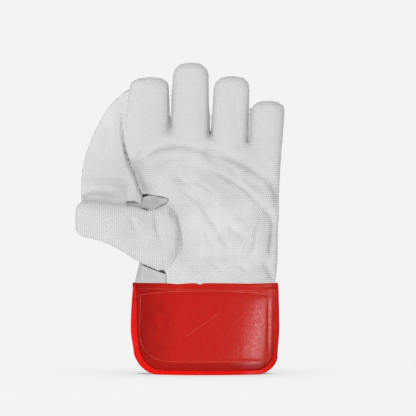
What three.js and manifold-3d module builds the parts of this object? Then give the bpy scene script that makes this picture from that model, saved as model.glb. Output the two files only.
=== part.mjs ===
// Wicketkeeping glove for the left hand, standing on its cuff with the palm towards -Y.
// Millimetres, +Z up, the thumb towards -X. Levels run up the glove from the cuff's foot.
// Tables hold shares of the named sizes: across is a share of half the hand's width, up is a share
// of the palm's height above the cuff.
import * as THREE from 'three';
import { ParametricGeometry } from 'three/addons/geometries/ParametricGeometry.js';
import { mergeVertices } from 'three/addons/utils/BufferGeometryUtils.js';
import Module from 'manifold-3d';

const wasm = await Module();
wasm.setup();

const { lerp, smoothstep, clamp } = THREE.MathUtils;

// Cuff
const cuffHeight = 90;
const cuffWidth = 147.5;
const mouthDepth = 68;
const wristDepth = 54;
const cuffWall = 2;
const cuffPadding = 4;
const paddingSlope = 14;
const bandHeight = 5.5;
const thumbSideCorner = 30;
const littleSideCorner = 24;
const bindingThumbSide = 5.6;
const bindingLittleSide = 3.4;
const bindingFoot = 4.6;
const bindingProud = 1.2;

// Hand
const handWidth = 150;
const palmHeight = 149;
const handDepth = 52;
const tuck = 10;
const knuckleSlope = 0.165;
const knuckleRound = 8;
const palmPad = 8;
const facingWall = 3.2;
const backWall = 2.8;
const sideWall = 3;
const lean = 16;
const facingWrap = 2;

// Fingers
const fingerReach = 72.5;
const fingerFront = 14;
const fingerBack = 13;
const fingerRoot = 26;
const tipRound = 14;

// Thumb
const thumbLength = 104;
const thumbWidth = 66;
const thumbDepth = 37;
const thumbForward = 46;
const thumbWall = 5;

// Web between the thumb and the index finger
const webHeight = 121;
const webReach = 50;
const webRubber = 2.2;
const webLeather = 1.6;
const webPuff = 6;

// Gap between thumb and palm, and the leather behind it
const gussetDepth = 3.6;
const gussetWall = 2.2;

// Folds and clearances
const foldDepth = 4.2;
const foldWidth = 7;
const gap = 0.3;

// Fineness of the skins: cells along the front and the back of a ring, and rows between the ends
const fineness = {
  hand: { front: 28, back: 10, rows: 21 },
  handHollow: { front: 10, back: 8, rows: 7 },
  gusset: { front: 18, back: 6, rows: 10 },
  finger: { front: 10, back: 6, rows: 4 },
  fingerHollow: { front: 6, back: 4, rows: 3 },
  thumb: { front: 14, back: 8, rows: 13 },
  thumbHollow: { front: 7, back: 5, rows: 8 },
  web: { front: 9, back: 9, rows: 10 },
  panel: { front: 14, back: 14, rows: 9 },
  ring: { front: 14, back: 14, rows: 4 },
};

// Levels and half widths that several pieces share
const halfHand = handWidth / 2;
const halfCuff = cuffWidth / 2;
const palmTop = cuffHeight + palmHeight;
const gloveTop = palmTop + fingerReach;
const wristFit = cuffWall + gap;
const acrossAt = (share) => share * halfHand;
const upAt = (share) => cuffHeight + share * palmHeight;

// Cuff sections: up is a share of the cuff's height, width and depth are shares of its sizes, depth
// runs from the mouth (1) to the wrist (0), and bow is how full the section is at its sides.
const cuffRows = [
  { up: 0, width: 0.985, depth: 1, bow: 0.78 },
  { up: 0.35, width: 1, depth: 0.72, bow: 0.72 },
  { up: 0.7, width: 1, depth: 0.3, bow: 0.64 },
  { up: 1, width: 0.99, depth: 0, bow: 0.58 },
];
const cuffFlat = 2.2;
const wristRow = cuffRows[cuffRows.length - 1];

// Hand sections above the cuff. The first row is the wrist, which fits inside the cuff's top.
const wristHalf = wristRow.width * halfCuff - wristFit;
const handRows = [
  {
    up: 0,
    left: -wristHalf / halfHand,
    right: wristHalf / halfHand,
    front: (wristDepth / 2 - wristFit) / handDepth,
    back: (wristDepth / 2 - wristFit) / handDepth,
    flat: cuffFlat,
    bow: wristRow.bow,
  },
  { up: 0.08, left: -0.905, right: 0.965, front: 0.465, back: 0.45, flat: 2.4, bow: 0.54 },
  { up: 0.16, left: -0.865, right: 0.972, front: 0.485, back: 0.46, flat: 2.6, bow: 0.5 },
  { up: 0.33, left: -0.86, right: 0.98, front: 0.5, back: 0.46, flat: 2.7, bow: 0.5 },
  { up: 0.5, left: -0.867, right: 0.993, front: 0.5, back: 0.44, flat: 2.7, bow: 0.5 },
  { up: 0.6, left: -0.887, right: 0.998, front: 0.49, back: 0.41, flat: 2.7, bow: 0.5 },
  { up: 0.68, left: -0.94, right: 1, front: 0.47, back: 0.38, flat: 2.7, bow: 0.5 },
  { up: 0.75, left: -1.013, right: 1.005, front: 0.44, back: 0.36, flat: 2.7, bow: 0.5 },
  { up: 0.84, left: -1.08, right: 1.015, front: 0.38, back: 0.32, flat: 2.7, bow: 0.5 },
  { up: 0.93, left: -1.105, right: 1.025, front: 0.3, back: 0.27, flat: 2.8, bow: 0.45 },
  { up: 1, left: -1.1, right: 1.03, front: 0.23, back: 0.22, flat: 3, bow: 0.42 },
];

// Fingers: their edges at the root and the tip, how far up they reach, and how round the tip is.
const fingerRows = [
  { name: 'index', rootLeft: -1.107, rootRight: -0.472, tipLeft: -0.984, tipRight: -0.478,
    reach: 0.8, round: 0.68 },
  { name: 'middle', rootLeft: -0.459, rootRight: 0.057, tipLeft: -0.427, tipRight: 0.053,
    reach: 1, round: 1 },
  { name: 'ring', rootLeft: 0.073, rootRight: 0.572, tipLeft: 0.12, tipRight: 0.604,
    reach: 0.814, round: 0.9 },
  { name: 'little', rootLeft: 0.586, rootRight: 1.035, tipLeft: 0.613, tipRight: 1.075,
    reach: 0.474, round: 0.75 },
];
const fingerFull = 2.4;
const fingerSunk = 0.8;

// Where the palm's hollow ends and the fingers' hollows go on, as a share of the palm's height
const hollowTop = 0.94;

// Thumb sections from its root in the palm to its tip: along is a share of its length, up of the
// palm's height, half of half its width, forward of thumbForward and deep of half its depth.
const thumbRoot = -0.32;
const thumbRows = [
  { along: 0, up: 0.309, half: 0.3, forward: 0.29, deep: 0.4 },
  { along: 0.03, up: 0.309, half: 0.56, forward: 0.304, deep: 0.66 },
  { along: 0.106, up: 0.322, half: 1, forward: 0.348, deep: 0.95 },
  { along: 0.192, up: 0.304, half: 0.992, forward: 0.402, deep: 1 },
  { along: 0.288, up: 0.302, half: 0.864, forward: 0.478, deep: 0.98 },
  { along: 0.399, up: 0.331, half: 0.826, forward: 0.576, deep: 0.946 },
  { along: 0.5, up: 0.359, half: 0.758, forward: 0.663, deep: 0.919 },
  { along: 0.62, up: 0.389, half: 0.652, forward: 0.761, deep: 0.881 },
  { along: 0.75, up: 0.414, half: 0.583, forward: 0.859, deep: 0.838 },
  { along: 0.88, up: 0.431, half: 0.553, forward: 0.946, deep: 0.784 },
  { along: 0.952, up: 0.438, half: 0.523, forward: 0.978, deep: 0.703 },
  { along: 0.985, up: 0.436, half: 0.44, forward: 0.989, deep: 0.54 },
  { along: 1, up: 0.433, half: 0.3, forward: 1, deep: 0.3 },
];
const thumbFull = 2.2;

// Web's outer edge: up is a share of its height and out a share of its reach from webInner.
const webInner = -0.973;
const webRoot = -0.6;
const webFoot = 0.503;
const webRows = [
  { up: 0, out: 0.98, forward: 0.9 },
  { up: 0.2, out: 1, forward: 0.82 },
  { up: 0.4, out: 0.945, forward: 0.66 },
  { up: 0.6, out: 0.785, forward: 0.48 },
  { up: 0.75, out: 0.605, forward: 0.36 },
  { up: 0.86, out: 0.435, forward: 0.3 },
  { up: 0.93, out: 0.27, forward: 0.27 },
  { up: 0.98, out: 0.12, forward: 0.26 },
  { up: 1, out: 0.04, forward: 0.26 },
];

// Gap above the thumb where the rubber stops, and the edge of the leather patch beside the wrist.
const crotchGap = [
  { across: -1.053, up: 0.557 },
  { across: -0.88, up: 0.577 },
  { across: -0.867, up: 0.611 },
  { across: -0.493, up: 0.577 },
  { across: -0.48, up: 0.55 },
  { across: -0.72, up: 0.49 },
  { across: -1.027, up: 0.523 },
];
const wristPatch = [
  { across: -0.52, up: -0.2 },
  { across: -0.52, up: 0.064 },
  { across: -0.7, up: 0.24 },
  { across: -1.3, up: 0.24 },
  { across: -1.3, up: -0.2 },
];

// Folds of the palm: each valley runs from one point over a second to a third, with its depth and
// width as shares of foldDepth and foldWidth. A negative depth is a ridge.
const palmFolds = [
  { from: [-0.79, 0.84], over: [-0.31, 0.915], to: [0.15, 0.87], depth: 0.6, width: 1.2 },
  { from: [0.15, 0.87], over: [0.6, 0.77], to: [0.95, 0.63], depth: 0.7, width: 1.2 },
  { from: [-0.36, 0.735], over: [0.0, 0.745], to: [0.44, 0.61], depth: 0.8, width: 1 },
  { from: [0.44, 0.61], over: [0.86, 0.44], to: [0.84, 0.21], depth: 1, width: 1 },
  { from: [-0.307, 0.705], over: [0.0, 0.53], to: [0.2, 0.33], depth: 0.7, width: 0.9 },
  { from: [0.17, 0.665], over: [0.35, 0.57], to: [0.47, 0.5], depth: 0.6, width: 0.9 },
  { from: [0.28, 0.39], over: [0.38, 0.35], to: [0.47, 0.3], depth: 0.6, width: 0.9 },
  { from: [-0.15, 0.38], over: [-0.13, 0.3], to: [-0.09, 0.25], depth: 0.5, width: 0.9 },
  { from: [0.07, 0.33], over: [0.08, 0.28], to: [0.09, 0.22], depth: 0.5, width: 0.9 },
  { from: [-0.2, 0.168], over: [0.3, 0.155], to: [0.87, 0.141], depth: 0.9, width: 1 },
  { from: [0.8, 0.13], over: [0.88, 0.08], to: [0.94, 0.03], depth: 0.8, width: 0.9 },
  { from: [0.73, 0.48], over: [0.58, 0.33], to: [0.41, 0.2], depth: -0.5, width: 0.8 },
  { from: [-0.36, 0.54], over: [-0.32, 0.4], to: [-0.38, 0.15], depth: 0.9, width: 1.1 },
  { from: [-0.46, 0.92], over: [-0.45, 1.05], to: [-0.46, 1.2], depth: 0.5, width: 0.8 },
  { from: [0.06, 0.85], over: [0.065, 1], to: [0.06, 1.15], depth: 0.5, width: 0.8 },
  { from: [0.56, 0.8], over: [0.58, 0.95], to: [0.58, 1.1], depth: 0.5, width: 0.8 },
];
const thumbFolds = [
  { from: [-0.64, 0.43], over: [-0.6, 0.36], to: [-0.57, 0.27], depth: 0.6, width: 1 },
  { from: [-0.97, 0.42], over: [-0.96, 0.38], to: [-0.93, 0.35], depth: 0.5, width: 1.1 },
];

// A smooth curve through one column of a table.
function column(rows, key, name) {
  const places = rows.map((row) => row[key]);
  const values = rows.map((row) => row[name]);
  const curve = new THREE.CubicInterpolant(places, values, 1);
  return (at) => curve.evaluate(at)[0];
}

// How deep the folds of a table press in at a point of the front view.
function foldsOf(table) {
  const marks = 14;
  const valleys = table.map((fold) => {
    const [from, over, to] = [fold.from, fold.over, fold.to].map(
      ([across, up]) => new THREE.Vector2(acrossAt(across), upAt(up)),
    );
    const pull = over.clone().multiplyScalar(2).sub(from.clone().add(to).multiplyScalar(0.5));
    const points = new THREE.QuadraticBezierCurve(from, pull, to).getPoints(marks);
    return { points, depth: fold.depth * foldDepth, width: fold.width * foldWidth };
  });
  return (x, z) => {
    const here = new THREE.Vector2(x, z);
    let press = 0;
    for (const { points, depth, width } of valleys) {
      const nearest = Math.min(...points.map((point) => point.distanceTo(here)));
      press += depth * Math.exp(-((nearest / width) ** 2));
    }
    return press;
  };
}

// Levels up a skin: a flat start, even rows, and an end that rounds off over its last stretch.
function levelsOf(start, end, rows, round, roundRows, full = 2) {
  const levels = [{ at: start, open: 0 }];
  for (let i = 0; i <= rows; i++) {
    levels.push({ at: lerp(start, end - round, i / rows), open: 1 });
  }
  for (let i = 1; i <= roundRows; i++) {
    const rise = Math.sin(((i / roundRows) * Math.PI) / 2);
    levels.push({ at: end - round + round * rise, open: (1 - rise ** full) ** (1 / full) });
  }
  levels[levels.length - 1].open = 0;
  return levels;
}

// A manifold solid from a geometry, with its points welded and its collapsed faces left out.
function solid(geometry) {
  geometry.deleteAttribute('normal');
  geometry.deleteAttribute('uv');
  const welded = mergeVertices(geometry, 1e-4);
  const corners = welded.index.array;
  const faces = [];
  for (let i = 0; i < corners.length; i += 3) {
    const [a, b, c] = corners.slice(i, i + 3);
    if (a !== b && b !== c && c !== a) faces.push(a, b, c);
  }
  return new wasm.Manifold(new wasm.Mesh({
    numProp: 3,
    vertProperties: welded.getAttribute('position').array,
    triVerts: Uint32Array.from(faces),
  }));
}

// A closed skin through rings. Each ring runs along its front from side -1 to side 1 and returns
// along its back, and place sets a point from its side, its facing and its level.
function skin(levels, { front, back }, place) {
  const cells = front + back;
  const last = levels.length - 1;
  const crowding = 0.5;
  return solid(new ParametricGeometry((u, v, target) => {
    const step = u * cells;
    const facing = step <= front ? -1 : 1;
    const share = facing < 0 ? step / front : (step - front) / back;
    const across = lerp(2 * share - 1, -Math.cos(Math.PI * share), crowding);
    const row = Math.min(Math.floor(v * last + 1e-6), last - 1);
    const mix = clamp(v * last - row, 0, 1);
    const at = lerp(levels[row].at, levels[row + 1].at, mix);
    const open = lerp(levels[row].open, levels[row + 1].open, mix);
    const side = open < 1e-6 ? 0 : -facing * across;
    place(side, facing, at, open, target);
  }, cells, last));
}

// An outline drawn in the plane of two axes and carried along the third, both ways from zero.
const planes = {
  front: [[1, 0, 0], [0, 0, 1], [0, -1, 0]],
  side: [[0, 1, 0], [0, 0, 1], [1, 0, 0]],
  top: [[1, 0, 0], [0, 1, 0], [0, 0, 1]],
};
function prism(shape, plane, halfLength) {
  const geometry = new THREE.ExtrudeGeometry(shape, {
    depth: 2 * halfLength,
    bevelEnabled: false,
    curveSegments: 7,
  });
  const axes = planes[plane].map((axis) => new THREE.Vector3(...axis));
  geometry.translate(0, 0, -halfLength);
  geometry.applyMatrix4(new THREE.Matrix4().makeBasis(...axes));
  return solid(geometry);
}
function outline(points) {
  return new THREE.Shape(points.map(([a, b]) => new THREE.Vector2(a, b)));
}

// The largest body of a cut, without the slivers that a cut may leave.
function largest(body) {
  return body.decompose().sort((a, b) => b.volume() - a.volume())[0];
}

// Lengths that reach past the piece in hand, or past the whole glove
const past = 8;
const farAside = handWidth + thumbLength;
const farAhead = handDepth + mouthDepth + thumbForward;
const farBelow = -cuffHeight;
const farAbove = gloveTop + cuffHeight;

// The hand and its fingers lean forward towards their tips.
const leanStart = upAt(0.4);
const middleAt = (z) => -lean * Math.max(0, (z - leanStart) / (gloveTop - leanStart)) ** 2;

// Cuff
const cuffTable = {};
for (const name of ['width', 'depth', 'bow']) cuffTable[name] = column(cuffRows, 'up', name);

// The cuff's skin, moved out by a length all round and swollen at the front and back by padding.
function cuffSkin(out, padding) {
  const cells = padding > 0 ? fineness.panel : fineness.ring;
  const levels = levelsOf(-past, cuffHeight + past, cells.rows, 0, 1);
  return skin(levels, cells, (side, facing, at, open, target) => {
    const up = clamp(at / cuffHeight, 0, 1);
    const halfDepth = lerp(wristDepth, mouthDepth, cuffTable.depth(up)) / 2 + out;
    const full = Math.max(0, 1 - Math.abs(side) ** cuffFlat) ** cuffTable.bow(up);
    const fromFoot = smoothstep(at, bindingFoot, bindingFoot + paddingSlope);
    const fromBand = smoothstep(cuffHeight - at, bandHeight / 2, bandHeight + paddingSlope);
    const swell = padding * (1 - side ** 8) * fromFoot * fromBand;
    const x = side * (cuffTable.width(up) * halfCuff + out);
    target.set(x, open === 0 ? 0 : facing * (halfDepth * full + swell), at);
  });
}

// Hand
const handTable = {};
for (const name of ['left', 'right', 'front', 'back', 'flat', 'bow']) {
  handTable[name] = column(handRows, 'up', name);
}
const palmPress = foldsOf(palmFolds);
const handStart = -tuck / palmHeight;

// The hand's skin, moved out at its sides, front and back by lengths that are negative inwards.
function handSkin(moved, folded, levels, cells) {
  return skin(levels, cells, (side, facing, at, open, target) => {
    const left = acrossAt(handTable.left(at)) - moved.side;
    const right = acrossAt(handTable.right(at)) + moved.side;
    const x = lerp(left, right, (side + 1) / 2);
    const rise = Math.max(0, at) ** 3;
    const z = upAt(at) - knuckleSlope * x * rise;
    const full = Math.max(0, 1 - Math.abs(side) ** handTable.flat(at)) ** handTable.bow(at);
    const front = handTable.front(at) * handDepth + moved.front(at);
    const back = handTable.back(at) * handDepth + moved.back;
    let y = middleAt(z) + (facing < 0 ? -front : back) * full * open;
    if (folded && facing < 0) y += palmPress(x, z) * full * open;
    target.set(x, open === 0 ? middleAt(z) : y, z);
  });
}

// A finger's skin, moved out all round by one length at its front and another elsewhere.
function fingerSkin(row, front, out, cells, folded) {
  const tip = palmTop + row.reach * fingerReach + out;
  const knuckle = palmTop - knuckleSlope * acrossAt((row.rootLeft + row.rootRight) / 2);
  const root = knuckle - fingerRoot;
  const levels = levelsOf(root, tip, cells.rows, tipRound * row.round, 3, fingerFull);
  return skin(levels, cells, (side, facing, at, open, target) => {
    const share = clamp((at - knuckle) / (tip - knuckle), 0, 1);
    const left = acrossAt(lerp(row.rootLeft, row.tipLeft, share)) - out;
    const right = acrossAt(lerp(row.rootRight, row.tipRight, share)) + out;
    const sunk = lerp(fingerSunk, 1, smoothstep(at, root, knuckle));
    const x = (left + right) / 2 + side * ((right - left) / 2) * open * sunk;
    const full = Math.max(0, 1 - Math.abs(side) ** fingerFull) ** (1 / fingerFull);
    const depth = (facing < 0 ? fingerFront + front : fingerBack + out) * sunk;
    const press = folded && facing < 0 ? palmPress(x, at) * full * open : 0;
    target.set(x, middleAt(at) + facing * depth * full * open + press, at);
  });
}

// Rows up the hand, with an end that rounds off over the knuckles.
const handLevels = (start, end, cells) => (
  levelsOf(start, end, cells.rows, knuckleRound / palmHeight, 3)
);
const evenly = (length) => () => length;
const palmLining = (at) => (
  -lerp(palmPad, facingWall + fingerFront - handRows[handRows.length - 1].front * handDepth,
    smoothstep(at, 0.8, 1))
);
const clearance = gap / palmHeight;

let outer = handSkin(
  { side: 0, front: evenly(0), back: 0 },
  true,
  handLevels(handStart, 1, fineness.hand),
  fineness.hand,
);
let outerGrown = handSkin(
  { side: gap, front: evenly(gap), back: gap },
  true,
  handLevels(handStart - clearance, 1 + clearance, fineness.hand),
  fineness.hand,
);
let hollow = handSkin(
  { side: -sideWall, front: palmLining, back: -backWall },
  false,
  handLevels(2 * handStart, hollowTop, fineness.handHollow),
  fineness.handHollow,
);
for (const row of fingerRows) {
  outer = outer.add(fingerSkin(row, 0, 0, fineness.finger, true));
  outerGrown = outerGrown.add(fingerSkin(row, gap, gap, fineness.finger, true));
  hollow = hollow.add(fingerSkin(row, -facingWall, -backWall, fineness.fingerHollow, false));
}

// Thumb
const thumbTable = {};
for (const name of ['up', 'half', 'forward', 'deep']) {
  thumbTable[name] = column(thumbRows, 'along', name);
}
const thumbPress = foldsOf(thumbFolds);
const thumbMiddle = (x) => (
  -thumbForward * thumbTable.forward(clamp((acrossAt(thumbRoot) - x) / thumbLength, 0, 1))
);

// The thumb's skin, moved out all round by a length that is negative inwards.
function thumbSkin(out, folded, cells) {
  const levels = [{ at: 0, open: 0 }];
  for (let i = 0; i <= cells.rows; i++) {
    levels.push({ at: (1 - Math.cos((Math.PI * i) / cells.rows)) / 2, open: 1 });
  }
  levels.push({ at: 1, open: 0 });
  return skin(levels, cells, (side, facing, at, open, target) => {
    const x = acrossAt(thumbRoot) + out - at * (thumbLength + 2 * out);
    const full = Math.max(0, 1 - Math.abs(side) ** thumbFull) ** (1 / thumbFull);
    const half = (thumbTable.half(at) * thumbWidth) / 2 + out;
    const deep = (thumbTable.deep(at) * thumbDepth) / 2 + out;
    const z = upAt(thumbTable.up(at)) + side * half;
    let y = -thumbForward * thumbTable.forward(at) + facing * deep * full * open;
    if (folded && facing < 0) y += thumbPress(x, z) * full * open;
    target.set(x, y, z);
  });
}
const thumbOuter = thumbSkin(0, true, fineness.thumb);
const thumbGrown = thumbSkin(gap, true, fineness.thumb);
const thumbHollow = thumbSkin(-thumbWall, false, fineness.thumbHollow);

// Front and back of the hand, parted along its sides with the facing wrapped a little round them.
function partingAt(offset, ahead) {
  const points = [];
  const steps = 12;
  for (let i = 0; i <= steps; i++) {
    const z = lerp(farBelow, farAbove, i / steps);
    points.push([middleAt(z) + facingWrap + offset, z]);
  }
  const far = ahead ? -farAhead : farAhead;
  points.push([far, farAbove], [far, farBelow]);
  return prism(outline(points), 'side', farAside);
}
const shell = outer.subtract(hollow).subtract(thumbHollow);
const frontHalf = shell.intersect(partingAt(-gap / 2, true));
const backHalf = shell.intersect(partingAt(gap / 2, false));

// An outline of a table, moved in (or out, with a negative inset) by a length.
function patch(table, inset) {
  const points = table.map(({ across, up }) => new THREE.Vector2(acrossAt(across), upAt(up)));
  const clockwise = THREE.ShapeUtils.isClockWise(points) ? -1 : 1;
  return outline(points.map((point, i) => {
    const before = points[(i + points.length - 1) % points.length];
    const after = points[(i + 1) % points.length];
    const inward = (a, b) => {
      const way = b.clone().sub(a).normalize();
      return new THREE.Vector2(-way.y * clockwise, way.x * clockwise);
    };
    const first = inward(before, point);
    const second = inward(point, after);
    const corner = first.clone().add(second).divideScalar(1 + first.dot(second));
    const moved = point.clone().add(corner.multiplyScalar(inset));
    return [moved.x, moved.y];
  }));
}
const crotchCut = prism(patch(crotchGap, 0), 'front', farAhead);
const wristCut = prism(patch(wristPatch, 0), 'front', farAhead);
const wristGrown = prism(patch(wristPatch, -gap), 'front', farAhead);

const palmFacing = largest(frontHalf.subtract(crotchCut).subtract(wristGrown));
const wristSide = largest(frontHalf.intersect(wristCut));

// The gusset lies in the gap, set back below the rubber.
const skinUnder = (depth) => handSkin(
  { side: -depth, front: evenly(-depth), back: -depth },
  false,
  handLevels(handStart, 1, fineness.gusset),
  fineness.gusset,
);
const gusset = largest(
  skinUnder(gussetDepth)
    .subtract(skinUnder(gussetDepth + gussetWall))
    .subtract(thumbHollow)
    .intersect(partingAt(-gap / 2, true))
    .intersect(prism(patch(crotchGap, gap), 'front', farAhead)),
);

// Backs of the fingers, parted from the back of the hand along the knuckles.
function aboveKnuckles(offset, above) {
  const edge = (x) => palmTop - knuckleSlope * x + offset;
  const far = above ? farAbove : farBelow;
  return prism(outline([
    [-farAside, edge(-farAside)],
    [farAside, edge(farAside)],
    [farAside, far],
    [-farAside, far],
  ]), 'front', farAhead);
}
const handBack = largest(backHalf.intersect(aboveKnuckles(-gap / 2, false)));
const fingerBacks = backHalf.intersect(aboveKnuckles(gap / 2, true));
const fingerEdges = fingerRows.slice(1).map(
  (row, i) => acrossAt((fingerRows[i].rootRight + row.rootLeft) / 2),
);
function fingerBackAt(i) {
  const left = i === 0 ? -farAside : fingerEdges[i - 1] + gap / 2;
  const right = i === fingerEdges.length ? farAside : fingerEdges[i] - gap / 2;
  return largest(fingerBacks.intersect(prism(outline([
    [left, farBelow],
    [right, farBelow],
    [right, farAbove],
    [left, farAbove],
  ]), 'front', farAhead)));
}

// The thumb is a stall of its own, sewn on where it meets the hand.
function thumbParting(offset, ahead) {
  const points = [];
  const steps = 12;
  for (let i = 0; i <= steps; i++) {
    const x = lerp(-farAside, farAside, i / steps);
    points.push([x, thumbMiddle(x) + facingWrap + offset]);
  }
  const far = ahead ? -farAhead : farAhead;
  points.push([farAside, far], [-farAside, far]);
  return prism(outline(points), 'top', farAbove);
}
const thumbShell = thumbOuter.subtract(thumbHollow).subtract(hollow).subtract(outerGrown);
const thumbFacing = largest(thumbShell.intersect(thumbParting(-gap / 2, true)));
const thumbBack = largest(thumbShell.intersect(thumbParting(gap / 2, false)));

// Web: a padded rubber layer and a leather layer behind it, from the index finger to the thumb.
const webTable = { out: column(webRows, 'up', 'out'), forward: column(webRows, 'up', 'forward') };
const webBase = upAt(webFoot);
const webAt = (z) => clamp((z - webBase) / webHeight, 0, 1);
function webFront(x, z) {
  const up = webAt(z);
  const innerX = acrossAt(webInner);
  const across = clamp((innerX - x) / (webReach * webTable.out(up)), 0, 1.2);
  const atHand = middleAt(z) - handDepth * 0.2 * (1 - smoothstep(up, 0, 0.4));
  const atEdge = -thumbForward * webTable.forward(up);
  const puff = webPuff * Math.sin(Math.PI * clamp(across, 0, 1)) * Math.sin(Math.PI * up) ** 0.7;
  return lerp(atHand, atEdge, across ** 1.3) - puff;
}
function webLayer(from, to) {
  const left = acrossAt(webInner) - webReach - past;
  const right = acrossAt(webRoot) + past;
  const levels = levelsOf(webBase - past, webBase + webHeight + past, fineness.web.rows, 0, 1);
  return skin(levels, fineness.web, (side, facing, at, open, target) => {
    const x = lerp(left, right, (side + 1) / 2);
    const flush = Math.abs(side) > 1 - 1e-9 || open === 0;
    const behind = flush ? (from + to) / 2 : facing < 0 ? from : to;
    target.set(x, webFront(x, at) + behind, at);
  });
}
function webOutline() {
  const steps = 22;
  const points = [];
  for (let i = 0; i <= steps; i++) {
    const up = i / steps;
    points.push([acrossAt(webInner) - webReach * webTable.out(up), webBase + up * webHeight]);
  }
  points.push([acrossAt(webRoot), webBase + webHeight], [acrossAt(webRoot), webBase]);
  return prism(outline(points), 'front', farAhead);
}
const webPlan = webOutline();
const clearOfHand = (body) => body.subtract(outerGrown).subtract(thumbGrown);
const webFacing = largest(
  clearOfHand(webLayer(0, webRubber).intersect(webPlan).subtract(crotchCut)),
);
const webBack = largest(clearOfHand(
  webLayer(webRubber, webRubber + gap + webLeather)
    .subtract(webLayer(-webRubber, webRubber + gap))
    .intersect(webPlan),
));

// Cuff pieces, cut from rings by the outline of a panel with its rounded foot.
function panelOutline(thumbSide, littleSide, foot, top) {
  const leftCorner = thumbSideCorner - foot;
  const rightCorner = littleSideCorner - foot;
  const leftEdge = -halfCuff + thumbSide;
  const rightEdge = halfCuff - littleSide;
  const shape = new THREE.Shape();
  shape.moveTo(leftEdge, top);
  shape.lineTo(leftEdge, foot + leftCorner);
  shape.absarc(leftEdge + leftCorner, foot + leftCorner, leftCorner, Math.PI, 1.5 * Math.PI);
  shape.lineTo(rightEdge - rightCorner, foot);
  shape.absarc(rightEdge - rightCorner, foot + rightCorner, rightCorner, 1.5 * Math.PI, 0);
  shape.lineTo(rightEdge, top);
  return prism(shape, 'front', farAhead);
}
function halfSpace(ahead) {
  const near = ahead ? -gap / 2 : gap / 2;
  const far = ahead ? -farAhead : farAhead;
  return prism(outline([
    [near, farBelow],
    [near, farAbove],
    [far, farAbove],
    [far, farBelow],
  ]), 'side', farAside);
}
const bandFoot = cuffHeight - bandHeight;
const cuffHollow = cuffSkin(-cuffWall, 0);
const bandPlan = prism(outline([
  [-farAside, bandFoot],
  [farAside, bandFoot],
  [farAside, cuffHeight],
  [-farAside, cuffHeight],
]), 'front', farAhead);
const clearOfWrist = (body) => body.subtract(outerGrown);
const band = largest(clearOfWrist(
  cuffSkin(0, 0).subtract(cuffHollow).intersect(bandPlan),
));
const paddedRing = cuffSkin(0, cuffPadding).subtract(cuffHollow);
const boundRing = cuffSkin(bindingProud, 0).subtract(cuffSkin(-cuffWall - bindingProud / 2, 0));
function cuffSide(ahead) {
  const half = halfSpace(ahead);
  const beyond = -2 * bindingProud;
  const top = bandFoot - gap;
  const [thumbSide, littleSide, foot] = [bindingThumbSide, bindingLittleSide, bindingFoot];
  const whole = panelOutline(beyond, beyond, 0, top);
  const inner = panelOutline(thumbSide + gap, littleSide + gap, foot + gap, top);
  const rim = panelOutline(thumbSide, littleSide, foot, farAbove);
  return {
    panel: largest(clearOfWrist(paddedRing.intersect(inner).intersect(half))),
    binding: largest(clearOfWrist(boundRing.intersect(whole).subtract(rim).intersect(half))),
  };
}
const palmSide = cuffSide(true);
const backSide = cuffSide(false);

// Materials
const rubber = new THREE.MeshStandardMaterial({ color: 0xe9e9e8, roughness: 0.7, metalness: 0 });
const leather = new THREE.MeshStandardMaterial({ color: 0xe2e1df, roughness: 0.6, metalness: 0 });
const greyLeather = new THREE.MeshStandardMaterial({ color: 0xc4c4c2, roughness: 0.6, metalness: 0 });
const redLeather = new THREE.MeshStandardMaterial({ color: 0xb51a10, roughness: 0.35, metalness: 0 });
const binding = new THREE.MeshStandardMaterial({ color: 0xe32717, roughness: 0.4, metalness: 0 });

// A named mesh from a solid.
function piece(name, body, material) {
  const { vertProperties, triVerts } = body.getMesh();
  const geometry = new THREE.BufferGeometry();
  geometry.setAttribute('position', new THREE.BufferAttribute(vertProperties, 3));
  geometry.setIndex(new THREE.BufferAttribute(triVerts, 1));
  geometry.computeVertexNormals();
  const mesh = new THREE.Mesh(geometry, material.clone());
  mesh.name = name;
  return mesh;
}

const glove = new THREE.Group();
glove.add(
  piece('palm_facing', palmFacing, rubber),
  piece('hand_back', handBack, leather),
  piece('wrist_side', wristSide, leather),
  piece('crotch_gusset', gusset, greyLeather),
  piece('thumb_facing', thumbFacing, rubber),
  piece('thumb_back', thumbBack, leather),
  piece('web_facing', webFacing, rubber),
  piece('web_back', webBack, greyLeather),
  piece('cuff_band', band, redLeather),
  piece('cuff_front_panel', palmSide.panel, redLeather),
  piece('cuff_back_panel', backSide.panel, redLeather),
  piece('cuff_front_binding', palmSide.binding, binding),
  piece('cuff_back_binding', backSide.binding, binding),
);
fingerRows.forEach((row, i) => glove.add(piece(`${row.name}_back`, fingerBackAt(i), leather)));

// The origin is the middle of the foot of the glove's box.
const box = new THREE.Box3().setFromObject(glove);
const middle = box.getCenter(new THREE.Vector3());
glove.position.set(-middle.x, -middle.y, -box.min.z);

export default glove;
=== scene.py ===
import math

import bmesh
import bpy
import numpy as np
from mathutils import Matrix, Vector
from mathutils.bvhtree import BVHTree


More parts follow.
